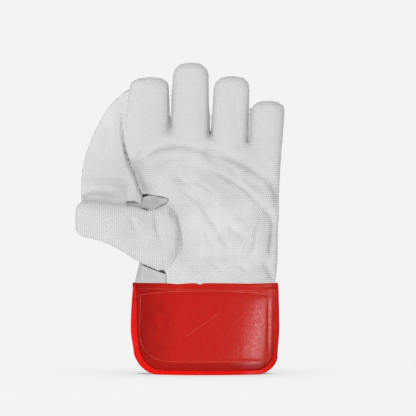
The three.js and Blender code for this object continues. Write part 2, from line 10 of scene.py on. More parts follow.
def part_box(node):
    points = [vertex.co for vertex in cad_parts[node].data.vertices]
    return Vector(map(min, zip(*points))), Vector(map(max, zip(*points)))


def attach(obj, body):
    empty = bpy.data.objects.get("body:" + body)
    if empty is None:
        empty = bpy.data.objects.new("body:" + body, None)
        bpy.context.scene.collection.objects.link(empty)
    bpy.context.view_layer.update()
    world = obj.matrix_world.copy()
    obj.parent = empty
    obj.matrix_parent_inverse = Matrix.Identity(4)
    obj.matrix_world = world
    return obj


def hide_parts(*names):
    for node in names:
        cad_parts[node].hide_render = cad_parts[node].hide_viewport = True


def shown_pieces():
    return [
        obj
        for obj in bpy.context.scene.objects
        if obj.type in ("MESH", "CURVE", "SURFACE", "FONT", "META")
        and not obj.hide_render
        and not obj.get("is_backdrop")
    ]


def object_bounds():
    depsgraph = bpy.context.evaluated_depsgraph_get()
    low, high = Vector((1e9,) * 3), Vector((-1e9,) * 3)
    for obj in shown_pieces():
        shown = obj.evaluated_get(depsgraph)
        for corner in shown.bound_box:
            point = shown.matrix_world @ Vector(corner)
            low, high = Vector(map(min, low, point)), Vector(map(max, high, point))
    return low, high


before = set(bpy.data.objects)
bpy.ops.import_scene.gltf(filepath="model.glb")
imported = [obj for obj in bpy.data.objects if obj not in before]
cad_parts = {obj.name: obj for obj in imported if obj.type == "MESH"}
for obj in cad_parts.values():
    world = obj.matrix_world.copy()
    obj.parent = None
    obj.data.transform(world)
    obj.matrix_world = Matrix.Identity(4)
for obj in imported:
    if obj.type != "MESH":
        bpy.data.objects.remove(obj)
cad_low, cad_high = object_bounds()

# The view. The glove stands on its cuff with the palm to the front. It is seen level, from so
# far away that near and far parts keep their sizes.
centre = (cad_low + cad_high) / 2
view_width = 0.416
view_distance = 3.2
view_aside = 0.027
view_raise = 0.0103
camera = bpy.data.objects.new("camera", bpy.data.cameras.new("camera"))
bpy.context.scene.collection.objects.link(camera)
camera.data.lens = camera.data.sensor_width * view_distance / view_width
camera.location = (view_aside, centre.y - view_distance, centre.z + view_raise)
camera.rotation_euler = (math.pi / 2, 0, 0)
camera.data.clip_end = 60
bpy.context.scene.camera = camera


# The studio. A soft light stands left of the camera, one behind the glove, and a small low one on the
# right gives the cuff its sheen. Pale light comes from all round. The floor glows as much as it is
# short of the background, so it shows no edge.
def tint(red, green, blue):
    """A colour as a screen shows it, 0 to 255, in the renderer's own scale."""
    parts = [value / 255 for value in (red, green, blue)]
    return tuple(p / 12.92 if p < 0.04045 else ((p + 0.055) / 1.055) ** 2.4 for p in parts)


def grey(level):
    """An even grey as a screen shows it, 0 to 255."""
    return tint(level, level, level)


background = grey(243)
surround = 0.55
mirrored = 0.0
floor_colour = (1, 0.98, 0.97)
floor_reach = 25
bpy.context.scene.view_settings.view_transform = "Standard"
world = bpy.data.worlds.new("studio")
bpy.context.scene.world = world
world.use_nodes = True
sky = world.node_tree
ray = sky.nodes.new("ShaderNodeLightPath")
cast = sky.nodes["Background"]
cast.inputs["Color"].default_value = (surround, surround, surround, 1)
shown = cast.outputs[0]
for kind, colour in (("Is Glossy Ray", (mirrored,) * 3), ("Is Camera Ray", background)):
    other, either = sky.nodes.new("ShaderNodeBackground"), sky.nodes.new("ShaderNodeMixShader")
    other.inputs["Color"].default_value = (*colour, 1)
    sky.links.new(ray.outputs[kind], either.inputs[0])
    sky.links.new(shown, either.inputs[1])
    sky.links.new(other.outputs[0], either.inputs[2])
    shown = either.outputs[0]
sky.links.new(shown, sky.nodes["World Output"].inputs["Surface"])

floor = bpy.data.objects.new("floor", bpy.data.meshes.new("floor"))
bpy.context.scene.collection.objects.link(floor)
plane = bmesh.new()
bmesh.ops.create_grid(plane, x_segments=1, y_segments=1, size=floor_reach)
plane.to_mesh(floor.data)
plane.free()
floor_finish = bpy.data.materials.new("floor")
floor_finish.use_nodes = True
floor_shader = floor_finish.node_tree.nodes["Principled BSDF"]
floor_shader.inputs["Base Color"].default_value = (*floor_colour, 1)
floor_shader.inputs["Roughness"].default_value = 1
floor_shader.inputs["Specular IOR Level"].default_value = 0
glow = [seen - part * surround for seen, part in zip(background, floor_colour)]
floor_shader.inputs["Emission Color"].default_value = (*glow, 1)
floor_shader.inputs["Emission Strength"].default_value = 1
floor.data.materials.append(floor_finish)
floor.visible_glossy = False
floor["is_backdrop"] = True

lit = bpy.data.collections.new("lit")


def lamp(name, place, size, power, shine):
    """A square soft light that points at the glove and lights nothing else. It is either seen in
    glossy surfaces or lights matt ones."""
    light = bpy.data.objects.new(name, bpy.data.lights.new(name, "AREA"))
    bpy.context.scene.collection.objects.link(light)
    light.data.size = size
    light.data.energy = power
    light.location = centre + Vector(place)
    light.rotation_euler = Vector(place).to_track_quat("Z", "Y").to_euler()
    light.light_linking.receiver_collection = lit
    light.light_linking.blocker_collection = lit
    light.visible_glossy = shine
    light.visible_diffuse = not shine


lamp("key", (-0.9, -2.4, 0.15), 0.9, 25, False)
lamp("fill", (1.2, 2.2, 1.0), 1.6, 22, False)
lamp("sheen", (1.59, -0.89, -0.26), 0.28, 19, True)


# Pimpled rubber facing. Three sheets over cotton padding cover the palm with the fingers, the thumb
# and the web, and meet in one skin. Each is moulded with its own rows of small round pimples.
class Value:
    """A socket of a material's node, so that shader maths reads as plain sums."""

    def __init__(self, finish, socket):
        self.finish = finish
        self.socket = socket

    def maths(self, operation, *values):
        sockets = dict(enumerate(values))
        return self.finish.node("Math", {"operation": operation}, sockets)

    def __add__(self, other):
        return self.maths("ADD", self, other)

    def __sub__(self, other):
        return self.maths("SUBTRACT", self, other)

    def __rsub__(self, other):
        return self.maths("SUBTRACT", other, self)

    def __mul__(self, other):
        return self.maths("MULTIPLY", self, other)

    def band(self, start, end, low=0.0, high=1.0):
        """A smooth step from low to high as this value goes from start to end."""
        settings = {"interpolation_type": "SMOOTHSTEP"}
        return self.finish.node("MapRange", settings, {0: self, 1: start, 2: end, 3: low, 4: high})

    def within(self, rise, fall):
        """A smooth window: up over the first two values and down over the other two."""
        return self.band(*rise) * self.band(*fall)


class Finish:
    """A procedural material of the glove, read in the glove's own frame."""

    def __init__(self, name, roughness, specular):
        self.material = bpy.data.materials.new(name)
        self.material.use_nodes = True
        self.tree = self.material.node_tree
        self.shader = self.tree.nodes["Principled BSDF"].inputs
        self.place = self.node("TexCoord", {}, {}, "Object")
        self.shader["Roughness"].default_value = roughness
        self.shader["Specular IOR Level"].default_value = specular

    def put(self, socket, value):
        """Links a value to a socket, or sets the socket to a number or a colour."""
        if isinstance(value, Value):
            self.tree.links.new(value.socket, socket)
        elif isinstance(value, tuple) and socket.type == "RGBA":
            socket.default_value = (*value, 1)
        else:
            socket.default_value = value

    def node(self, kind, settings, sockets, output=0):
        """A node of any kind, with its settings and what its sockets hold."""
        node = self.tree.nodes.new("ShaderNode" + kind)
        for name, setting in settings.items():
            setattr(node, name, setting)
        for name, value in sockets.items():
            self.put(node.inputs[name], value)
        return Value(self, node.outputs[output])

    def along(self, axis):
        """How far the point is along an axis, in metres."""
        return self.node("SeparateXYZ", {}, {0: self.place}, axis)

    def noise(self, grain, detail=3.0):
        """Soft noise with features of that grain, in metres."""
        sockets = {"Vector": self.place, "Scale": 1 / grain, "Detail": detail}
        return self.node("TexNoise", {}, sockets, "Fac")

    def crease_shade(self):
        """How much painted shade the crease has here, 0 to 1, as a piece's folds left it."""
        return self.node("Attribute", {"attribute_name": "crease_shade"}, {}, "Fac")

    def cells(self, grain):
        """Distance inside a net of round cells of that size, in metres."""
        return self.node("TexVoronoi", {}, {"Vector": self.place, "Scale": 1 / grain}, "Distance")

    def mix(self, mask, first, second):
        """The first colour where the mask is 0 and the second where it is 1."""
        return self.node("Mix", {"data_type": "RGBA"}, {0: mask, 6: first, 7: second}, 2)

    def colour(self, value):
        self.put(self.shader["Base Color"], value)

    def rough(self, value):
        self.put(self.shader["Roughness"], value)

    def bump(self, height, depth):
        """Relief too fine for the mesh: height 0 to 1 over a depth in metres."""
        sockets = {"Strength": 1.0, "Distance": depth, "Height": height}
        self.put(self.shader["Normal"], self.node("Bump", {}, sockets))


def settle(piece):
    """Turns what a piece's modifiers make into its own mesh."""
    graph = bpy.context.evaluated_depsgraph_get()
    mesh = bpy.data.meshes.new_from_object(piece.evaluated_get(graph))
    piece.modifiers.clear()
    piece.data = mesh


def reskin(name, nodes, grain, rounds, close=0.0, swell=0.0, join=0.0, lumps=()):
    """A smooth skin over solids of the frame. Rims that stop short of an earlier node are drawn up
    to it, and lumps, each a place and a radius in metres, fill what is still open. The whole
    swells, turns into small squares, eases out and shrinks back, so that gaps under twice the
    close width are gone."""
    skin = bmesh.new()
    for node in nodes:
        part = bmesh.new()
        part.from_mesh(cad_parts[node].data)
        bmesh.ops.remove_doubles(part, verts=part.verts, dist=weld)
        earlier = BVHTree.FromBMesh(skin)
        for corner in part.verts:
            near = earlier.find_nearest(corner.co, join)[0]
            if near:
                corner.co = near + (near - corner.co).normalized() * overlap
        copy = bpy.data.meshes.new(node)
        part.to_mesh(copy)
        part.free()
        skin.from_mesh(copy)
    for x, y, z, radius in lumps:
        place = Matrix.Translation((x, y, z))
        bmesh.ops.create_icosphere(skin, subdivisions=2, radius=radius, matrix=place)
    piece = bpy.data.objects.new(name, bpy.data.meshes.new(name))
    bpy.context.scene.collection.objects.link(piece)
    skin.to_mesh(piece.data)
    skin.free()
    puffed = piece.modifiers.new("puffed", "DISPLACE")
    puffed.mid_level = 0
    puffed.strength = close + swell
    squares = piece.modifiers.new("squares", "REMESH")
    squares.mode = "VOXEL"
    squares.voxel_size = grain
    eased = piece.modifiers.new("eased", "SMOOTH")
    eased.factor = 0.5
    eased.iterations = rounds
    shrunk = piece.modifiers.new("shrunk", "DISPLACE")
    shrunk.mid_level = 0
    shrunk.strength = -close
    settle(piece)
    for face in piece.data.polygons:
        face.use_smooth = True
    return piece


def part_fingers(piece, node, slits):
    """Cuts the slits between fingers as wedges. A row has the top and bottom of a slit, as shares
    of the node's width and height, then half its width at both in millimetres."""
    low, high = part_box(node)
    wedges = bmesh.new()
    for row in slits:
        ends = []
        for u, v, half in ((row[0], row[1], row[4]), (row[2], row[3], row[5])):
            x = low.x + (high.x - low.x) * u
            z = low.z + (high.z - low.z) * v
            for side, y in ((-1, low.y), (1, low.y), (1, high.y), (-1, high.y)):
                ends.append(wedges.verts.new((x + side * half / 1000, y * 2, z)))
        bmesh.ops.convex_hull(wedges, input=ends)
    cutter = bpy.data.objects.new("wedges", bpy.data.meshes.new("wedges"))
    wedges.to_mesh(cutter.data)
    wedges.free()
    cut = piece.modifiers.new("cut", "BOOLEAN")
    cut.object = cutter
    cut.solver = "MANIFOLD"
    settle(piece)
    bpy.data.objects.remove(cutter)


def dress(piece, finish, slot, *nodes):
    """Gives a finished piece its material and its place in the frame."""
    piece.data.materials.clear()
    piece.data.materials.append(finish.material)
    if nodes:
        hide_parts(*nodes)
    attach(piece, "root")


def read(piece, kind):
    """The vertices' places or normals as rows of three numbers."""
    rows = np.empty(len(piece.data.vertices) * 3)
    if kind == "normal":
        piece.data.vertex_normals.foreach_get("vector", rows)
    else:
        piece.data.vertices.foreach_get("co", rows)
    return rows.reshape(-1, 3)


def mould(piece, node, folds):
    """Presses folds into the front of a piece. A row has the start, bend and end of a fold, as
    shares of the node's width and height, then its depth and half its width in millimetres.
    A fold of less than no depth is a ridge. Steep folds also leave a painted shade along their crease,
    a darkening that the materials read."""
    low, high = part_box(node)
    corner = np.array((low.x, low.z))
    reach = np.array((high.x, high.z)) - corner
    places = read(piece, "place")
    normals = read(piece, "normal")
    flat = places[:, [0, 2]]
    sunk = np.zeros(len(flat))
    dark = np.zeros(len(flat))
    for row in folds:
        start, bend, end = (corner + reach * row[i : i + 2] for i in (0, 2, 4))
        depth, half = row[6] / 1000, row[7] / 1000
        along = np.linspace(0, 1, fold_steps)[:, None]
        line = (1 - along) ** 2 * start + 2 * along * (1 - along) * bend + along**2 * end
        near = np.full(len(flat), 1.0)
        share = np.zeros(len(flat))
        for i in range(fold_steps - 1):
            step = line[i + 1] - line[i]
            t = np.clip(((flat - line[i]) @ step) / (step @ step), 0, 1)
            gap = np.linalg.norm(flat - line[i] - t[:, None] * step, axis=1)
            closer = gap < near
            near[closer] = gap[closer]
            share[closer] = (i + t[closer]) / (fold_steps - 1)
        fade = np.clip(np.minimum(share, 1 - share) * fold_taper, fold_end, 1)
        sunk += depth * fade * np.exp(-((near / half) ** 2))
        # Painted shade: a steep fold darkens the colour along its crease as well as being pressed.
        steep = np.clip((depth / half - crease_start) / (crease_full - crease_start), 0, 1)
        dark = np.maximum(dark, steep * fade * np.exp(-((near / half / crease_share) ** 2)))
    front = np.clip(-normals[:, 1] * front_gain, 0, 1)
    places -= normals * (sunk * front)[:, None]
    piece.data.vertices.foreach_set("co", places.ravel())
    crease_shade = piece.data.attributes.new("crease_shade", "FLOAT", "POINT")
    crease_shade.data.foreach_set("value", dark * front)
    piece.data.update()


def drag(piece, node, pulls):
    """Pulls parts of a piece sideways. A row has a place, as shares of the node's width and height,
    the share of the width where it stops, the way to go and the reach in millimetres."""
    low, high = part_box(node)
    places = read(piece, "place")
    for u, v, stop, right, up, reach in pulls:
        across = (places[:, 0] - low.x) / (high.x - low.x)
        aside = places[:, 0] - low.x - (high.x - low.x) * u
        above = places[:, 2] - low.z - (high.z - low.z) * v
        near = np.exp(-((np.hypot(aside, above) * 1000 / reach) ** 2))
        pull = near * np.clip((stop - across) / pull_fade, 0, 1) / 1000
        places[:, 0] += pull * right
        places[:, 2] += pull * up
    piece.data.vertices.foreach_set("co", places.ravel())
    piece.data.update()


def skin_of(piece):
    """The piece's surface, ready to be asked for its nearest point."""
    return BVHTree.FromObject(piece, bpy.context.evaluated_depsgraph_get())


def walk(skin, place, facing, along, row, way):
    """Places a pitch apart over the skin, in one plane, up to where the sheet ends."""
    met = []
    heading = Vector((0, 0, 0))
    heading[along] = way
    gone = 0
    while True:
        heading = heading.normalized()
        heading -= facing * heading.dot(facing)
        heading[row] = 0
        if heading.length < least_heading:
            break
        ahead, turned, _, _ = skin.find_nearest(place + heading.normalized() * pitch / strides)
        ahead[row] = place[row]
        heading = ahead - place
        if turned.dot(facing) < sharpest or turned.y > furthest_round or heading.length < least_step:
            break
        gone += heading.length
        place, facing = ahead, turned
        if gone >= pitch:
            gone -= pitch
            met.append((place.copy(), facing.copy()))
    return met[:-1] if gone < pitch / 2 else met


def pimple_rows(piece, along, row):
    """Rows of pimple places over the front of a piece, each row half a pitch on from the last."""
    skin = skin_of(piece)
    places = read(piece, "place")
    low, high = places.min(axis=0), places.max(axis=0)
    ahead = Vector((0, 1, 0))
    found = []
    for count in range(1, int((high[row] - low[row]) / row_pitch)):
        turn = round(low[row] / row_pitch) + count
        level = turn * row_pitch
        shift = pitch / 2 * (turn % 2)
        runs = [[]]
        for step in range(int((high[along] - low[along]) / look_pitch) + 1):
            eye = Vector((0, -1, 0))
            eye[row] = level
            eye[along] = low[along] + step * look_pitch
            if skin.ray_cast(eye, ahead)[0] is None:
                runs.append([])
            else:
                runs[-1].append(eye[along])
        for run in runs:
            if len(run) * look_pitch < pitch:
                continue
            start = (run[0] + run[-1]) / 2
            for way in (-1, 1):
                eye = Vector((0, -1, 0))
                eye[row] = level
                eye[along] = round((start - shift) / pitch) * pitch + shift + (pitch if way > 0 else 0)
                while run[0] < eye[along] < run[-1]:
                    place, facing, _, _ = skin.ray_cast(eye, ahead)
                    if place is None:
                        break
                    met = [(place, facing)] + walk(skin, place, facing, along, row, way)
                    found += met
                    eye[along] = met[-1][0][along] + way * pitch
    return found


def seated(skin, spot):
    """Whether a pimple's place is on the skin, facing as the skin does, with room over it."""
    place, up = spot
    _, facing, _, away = skin.find_nearest(place)
    over = skin.ray_cast(place + up * pimple_height, up, pimple_room)[0]
    return away < pimple_reach and facing.dot(up) > pimple_lean and over is None


def spread(name, shape, places, crease_shades=()):
    """Joins a copy of a small shape on each place. A place has its point, the way it faces and,
    for a long shape, the way it runs. A copy can keep the painted crease shade where it stands."""
    cloud = bpy.data.objects.new(name, bpy.data.meshes.new(name))
    bpy.context.scene.collection.objects.link(cloud)
    dots = bmesh.new()
    up = dots.verts.layers.float_vector.new("up")
    run = dots.verts.layers.float_vector.new("run")
    crease_shade = dots.verts.layers.float.new("crease_shade")
    for place, shade in zip(places, crease_shades or [0] * len(places)):
        dot = dots.verts.new(place[0])
        dot[crease_shade] = shade
        dot[up] = place[1]
        dot[run] = place[2] if len(place) > 2 else (1, 0, 0)
    dots.to_mesh(cloud.data)
    dots.free()
    small = bpy.data.objects.new(name + "_one", bpy.data.meshes.new(name + "_one"))
    shape.to_mesh(small.data)
    shape.free()
    group = bpy.data.node_groups.new(name, "GeometryNodeTree")
    for way in ("INPUT", "OUTPUT"):
        group.interface.new_socket("Geometry", in_out=way, socket_type="NodeSocketGeometry")
    add = group.nodes.new
    link = group.links.new
    start, end = add("NodeGroupInput"), add("NodeGroupOutput")
    copies, joined = add("GeometryNodeInstanceOnPoints"), add("GeometryNodeRealizeInstances")
    one = add("GeometryNodeObjectInfo")
    one.inputs["Object"].default_value = small
    turned = None
    for axis, pivot, layer in (("X", "AUTO", "run"), ("Z", "X", "up")):
        held = add("GeometryNodeInputNamedAttribute")
        held.data_type = "FLOAT_VECTOR"
        held.inputs["Name"].default_value = layer
        turn = add("FunctionNodeAlignRotationToVector")
        turn.axis = axis
        turn.pivot_axis = pivot
        link(held.outputs["Attribute"], turn.inputs["Vector"])
        if turned:
            link(turned.outputs["Rotation"], turn.inputs["Rotation"])
        turned = turn
    link(start.outputs[0], copies.inputs["Points"])
    link(one.outputs["Geometry"], copies.inputs["Instance"])
    link(turned.outputs["Rotation"], copies.inputs["Rotation"])
    link(copies.outputs[0], joined.inputs[0])
    link(joined.outputs[0], end.inputs[0])
    cloud.modifiers.new("copies", "NODES").node_group = group
    settle(cloud)
    bpy.data.objects.remove(small)
    for layer in ("up", "run"):
        if layer in cloud.data.attributes:
            cloud.data.attributes.remove(cloud.data.attributes[layer])
    for face in cloud.data.polygons:
        face.use_smooth = True
    return cloud


def pimple(height):
    """A low round dome on a six-sided foot, sunk a little into the sheet."""
    dome = bmesh.new()
    foot, top = pimple_radius, pimple_radius * pimple_taper
    bmesh.ops.create_cone(dome, cap_ends=True, segments=6, radius1=foot, radius2=top, depth=height)
    bmesh.ops.translate(dome, verts=dome.verts, vec=(0, 0, height / 2 - pimple_sunk))
    lid = max(dome.faces, key=lambda face: face.calc_center_median().z)
    bmesh.ops.poke(dome, faces=[lid], offset=height * pimple_dome)
    return dome


# What reskin, mould and drag need.
weld = 0.00002
overlap = 0.0012
crease_start = 1.0
crease_full = 2.0
crease_share = 0.45
fold_steps = 14
fold_taper = 4
fold_end = 0.15
front_gain = 2
pull_fade = 1 / 120

# Pimples, in metres, and how far a row of them follows the skin.
pitch = 0.0024
row_pitch = pitch * math.sqrt(0.75)
look_pitch = 0.0005
strides = 4
sharpest = 0.4
furthest_round = -0.2
least_heading = 0.05
least_step = pitch / 16
pimple_radius = 0.00085
pimple_taper = 0.7
pimple_dome = 0.2
pimple_height = 0.001
pimple_sunk = 0.0003
pimple_reach = 0.0012
pimple_lean = 0.5
pimple_room = 0.002

# Where the rubber's tone changes, in metres, with the painted shade at its right edge and beside the
# long crease.
finger_rise = (0.205, 0.25)
thumb_reach = (-0.035, -0.06)
web_rise = (0.15, 0.175)
shaded_right_edge = (0.088, 0.106)
valley_shade_slope = 0.42
valley_shade_sides = ((0.036, 0.041), (0.0495, 0.0415))
valley_shade_ends = ((0.176, 0.186), (0.222, 0.206))
smudge_size = 0.035
smudges = (0.35, 0.7)


def valley_shade(finish):
    """Painted shade where the facing sinks beside the long crease, 0 to 1."""
    slant = finish.along("X") + finish.along("Z") * valley_shade_slope
    return slant.within(*valley_shade_sides) * finish.along("Z").within(*valley_shade_ends)


rubber = Finish("pimpled_rubber", roughness=0.55, specular=0.3)
fingers = rubber.along("Z").band(*finger_rise)
thumb = rubber.along("X").band(*thumb_reach)
web = thumb * rubber.along("Z").band(*web_rise)
sheet = rubber.mix(rubber.noise(smudge_size).band(*smudges), grey(221), grey(210))
sheet = rubber.mix(fingers, sheet, grey(217))
sheet = rubber.mix(thumb * (1 - fingers), sheet, grey(213))
sheet = rubber.mix(web, sheet, grey(224))
# Painted shade: darker towards the right edge, where the palm turns away from the light.
sheet = rubber.mix(rubber.along("X").band(*shaded_right_edge), sheet, grey(204))
# Painted shade: the hollow beside the long crease is darkened in colour as well as pressed.
sheet = rubber.mix(valley_shade(rubber), sheet, grey(190))
# Painted shade: the colour darkens along the steep creases.
rubber.colour(rubber.mix(rubber.crease_shade(), sheet, grey(120)))
rubber.rough(rubber.noise(0.01).band(0.2, 0.8, 0.48, 0.62))
rubber.bump(rubber.noise(0.0009), 0.0002)

tips = Finish("rubber_pimples", roughness=0.5, specular=0.3)
crown = tips.mix(tips.noise(smudge_size).band(*smudges), grey(240), grey(230))
crown = tips.mix(tips.along("Z").band(*finger_rise), crown, grey(225))
crown = tips.mix(tips.along("X").band(*thumb_reach) * tips.along("Z").band(*web_rise), crown, grey(230))
# Painted shade on the pimples in that hollow too.
crown = tips.mix(valley_shade(tips), crown, grey(204))
# Painted shade on the pimples along the steep creases too.
tips.colour(tips.mix(tips.crease_shade(), crown, grey(150)))

# The folds, from the palm's long arch down to its foot, then the thumb's side, the crease at the
# left with its row of gathers, the slits' ends, the web and the fingers.
facing_folds = (
    (0.11, 0.575, 0.29, 0.672, 0.50, 0.618, 3.2, 2.7),
    (0.42, 0.628, 0.70, 0.606, 0.92, 0.475, 3.3, 3.0),
    (0.88, 0.50, 0.98, 0.45, 0.945, 0.37, 3.0, 3.6),
    (0.18, 0.535, 0.26, 0.59, 0.36, 0.585, 2.2, 2.6),
    (0.35, 0.52, 0.39, 0.57, 0.53, 0.53, 1.8, 2.2),
    (0.52, 0.535, 0.70, 0.48, 0.87, 0.370, 2.9, 2.4),
    (0.85, 0.37, 0.955, 0.345, 0.925, 0.25, 3.2, 3.2),
    (0.93, 0.29, 0.92, 0.22, 0.905, 0.155, 3.4, 3.0),
    (0.36, 0.46, 0.43, 0.41, 0.49, 0.395, 2.2, 2.8),
    (0.48, 0.40, 0.53, 0.32, 0.60, 0.27, 2.4, 2.6),
    (0.58, 0.28, 0.62, 0.22, 0.67, 0.19, 2.0, 2.6),
    (0.42, 0.495, 0.50, 0.475, 0.58, 0.42, 2.4, 2.4),
    (0.34, 0.50, 0.37, 0.49, 0.41, 0.47, 1.6, 2.6),
    (0.64, 0.31, 0.69, 0.26, 0.76, 0.235, 2.2, 2.8),
    (0.69, 0.35, 0.72, 0.33, 0.75, 0.32, 1.4, 2.4),
    (0.83, 0.29, 0.82, 0.23, 0.79, 0.16, 1.8, 2.4),
    (0.50, 0.29, 0.53, 0.24, 0.57, 0.18, 1.6, 2.2),
    (0.45, 0.30, 0.46, 0.24, 0.49, 0.18, 1.2, 2.2),
    (0.86, 0.36, 0.78, 0.26, 0.70, 0.16, -1.4, 1.8),
    (0.51, 0.60, 0.56, 0.58, 0.61, 0.55, 0.8, 2.6),
    (0.65, 0.55, 0.68, 0.535, 0.70, 0.51, 1.6, 2.8),
    (0.73, 0.51, 0.80, 0.475, 0.88, 0.435, 2.0, 3.2),
    (0.42, 0.153, 0.60, 0.16, 0.92, 0.137, 1.8, 2.2),
    (0.53, 0.148, 0.58, 0.12, 0.64, 0.09, 1.6, 2.6),
    (0.67, 0.148, 0.74, 0.12, 0.80, 0.08, 1.8, 2.6),
    (0.40, 0.135, 0.44, 0.11, 0.49, 0.09, 1.2, 2.6),
    (0.87, 0.145, 0.91, 0.11, 0.93, 0.05, 3.0, 3.2),
    (0.29, 0.40, 0.385, 0.30, 0.36, 0.155, 2.4, 1.8),
    (0.35, 0.16, 0.32, 0.12, 0.275, 0.10, -1.8, 3.0),
    (0.205, 0.35, 0.215, 0.28, 0.25, 0.22, 2.6, 2.6),
    (0.235, 0.35, 0.24, 0.28, 0.275, 0.22, -1.2, 2.0),
    (0.06, 0.34, 0.07, 0.30, 0.09, 0.27, 1.8, 2.6),
    (0.09, 0.34, 0.10, 0.30, 0.115, 0.27, -1.0, 2.0),
    (0.00, 0.76, -0.005, 0.62, 0.075, 0.50, 2.7, 1.3),
    (0.045, 0.56, 0.09, 0.475, 0.13, 0.395, 2.4, 1.2),
    (0.10, 0.63, 0.11, 0.52, 0.21, 0.42, 4.2, 4.0),
    (-0.012, 0.778, 0.01, 0.778, 0.035, 0.781, 1.0, 0.85),
    (-0.012, 0.763, 0.01, 0.762, 0.035, 0.766, 1.0, 0.85),
    (-0.012, 0.748, 0.01, 0.747, 0.035, 0.751, 1.1, 0.85),
    (-0.008, 0.733, 0.01, 0.731, 0.035, 0.736, 1.1, 0.85),
    (-0.005, 0.718, 0.01, 0.715, 0.035, 0.720, 1.1, 0.85),
    (0.085, 0.60, 0.10, 0.61, 0.13, 0.625, 1.4, 1.2),
    (0.09, 0.565, 0.11, 0.575, 0.14, 0.585, 1.4, 1.2),
    (0.296, 0.775, 0.296, 0.745, 0.298, 0.715, 1.6, 0.9),
    (0.542, 0.73, 0.542, 0.70, 0.543, 0.685, 2.0, 1.0),
    (-0.24, 0.46, -0.12, 0.47, 0.03, 0.44, -3.5, 6.0),
    (-0.24, 0.41, -0.16, 0.43, 0.02, 0.40, 3.2, 3.4),
    (-0.14, 0.50, -0.05, 0.505, 0.05, 0.495, 1.2, 2.0),
    (0.12, 0.90, 0.19, 0.93, 0.27, 0.905, 1.0, 2.4),
    (0.70, 0.88, 0.69, 0.75, 0.72, 0.61, 1.0, 2.4),
    (0.37, 0.90, 0.36, 0.80, 0.37, 0.68, 0.6, 2.4),
    (0.48, 0.90, 0.485, 0.80, 0.48, 0.68, 0.6, 2.4),
)
finger_slits = (
    (0.297, 0.915, 0.296, 0.762, 2.1, 0.3),
    (0.548, 0.845, 0.542, 0.705, 1.7, 0.3),
    (0.781, 0.825, 0.780, 0.725, 0.7, 0.3),
)
facing_pulls = (
    (0.115, 0.425, 0.124, 1.0, -9.0, 5.0),
    (0.06, 0.41, 0.124, 0.0, -2.0, 5.0),
)
facing_lumps = (
    # Where the web meets the index finger.
    (-0.0605, 0.0001, 0.2735, 0.0015),
    (-0.0590, 0.0003, 0.2735, 0.0015),
    (-0.0575, 0.0005, 0.2735, 0.0015),
    # The feet of two slits.
    (-0.0107, 0.0050, 0.2465, 0.0017),
    (-0.0107, 0.0048, 0.2495, 0.0017),
    (-0.0107, 0.0045, 0.2525, 0.0017),
    (-0.0107, 0.0042, 0.2550, 0.0016),
    (0.0295, 0.0058, 0.2400, 0.0015),
    (0.0295, 0.0056, 0.2425, 0.0015),
)
facing_nodes = ("palm_facing", "thumb_facing", "web_facing")
rubber_skin = {"grain": 0.0012, "rounds": 10, "close": 0.0004}
facing = reskin("rubber_facing", facing_nodes, **rubber_skin, join=0.0025, lumps=facing_lumps)
part_fingers(facing, "palm_facing", finger_slits)
drag(facing, "palm_facing", facing_pulls)
mould(facing, "palm_facing", facing_folds)
dress(facing, rubber, "pimpled_rubber", *facing_nodes)
whole = skin_of(facing)

# A sheet has its node, the axis that a row of pimples runs along, the axis from row to row and how
# high the pimples stand, as a share.
sheets = (("palm_facing", 0, 2, 1.0), ("thumb_facing", 2, 0, 1.0), ("web_facing", 0, 2, 0.6))
for node, along, row, relief in sheets:
    guide = reskin("guide", (node,), **rubber_skin)
    drag(guide, "palm_facing", facing_pulls)
    mould(guide, "palm_facing", facing_folds)
    spots = [spot for spot in pimple_rows(guide, along, row) if seated(whole, spot)]
    bpy.data.objects.remove(guide)
    # Each pimple takes the painted crease shade of the skin under it.
    below = [facing.data.polygons[whole.find_nearest(spot[0])[2]].vertices[0] for spot in spots]
    crease_shades = [facing.data.attributes["crease_shade"].data[corner].value for corner in below]
    pimples = spread(node.replace("facing", "pimples"), pimple(pimple_height * relief), spots, crease_shades)
    dress(pimples, tips, "pimpled_rubber")

# White leather. The back of the hand, the backs of the fingers and thumb and the patch at the
# wrist are cut from soft white leather and sewn to the facing's edges.
white_leather = Finish("white_leather", roughness=0.5, specular=0.35)
pale, worn = tint(226, 225, 223), tint(217, 216, 213)
white_leather.colour(white_leather.mix(white_leather.noise(0.03).band(0.4, 0.7), pale, worn))
grain = white_leather.cells(0.0011)
white_leather.rough(grain.band(0.1, 0.6, 0.44, 0.6))
white_leather.bump(grain * -1 + white_leather.noise(0.004) * 0.6, 0.00025)
for node in ("hand_back", "index_back", "middle_back", "ring_back", "little_back", "thumb_back"):
    back = reskin(node + "_leather", (node,), grain=0.0012, rounds=12, swell=0.0003)
    dress(back, white_leather, "white_leather", node)

# Painted shadow: the patch is dark in a slanted strip, where the thumb's edge lies over it.
wrist_slope = 0.368
shaded_rise = (0.0938, 0.0948)
shaded_fall = (0.0998, 0.0978)
shaded_front = (0.006, -0.002)
wrist = Finish("wrist_leather", roughness=0.55, specular=0.25)
slant = wrist.along("Z") + wrist.along("X") * wrist_slope
shaded = slant.within(shaded_rise, shaded_fall) * wrist.along("Y").band(*shaded_front)
patch = wrist.mix(wrist.noise(0.012).band(*smudges), grey(201), grey(189))
# Painted shadow under the thumb's edge.
wrist.colour(wrist.mix(shaded, patch, grey(75)))
wrist.bump(wrist.cells(0.001) * -1, 0.0002)
inside = reskin("wrist_patch", ("wrist_side",), grain=0.001, rounds=8, swell=0.0006)
dress(inside, wrist, "white_leather", "wrist_side")

# Grey leather. The gusset in the crotch of the thumb and the back of the web are a thin smooth
# leather, left grey.
grey_leather = Finish("grey_leather", roughness=0.5, specular=0.3)
plain, dull = tint(199, 199, 198), tint(184, 184, 183)

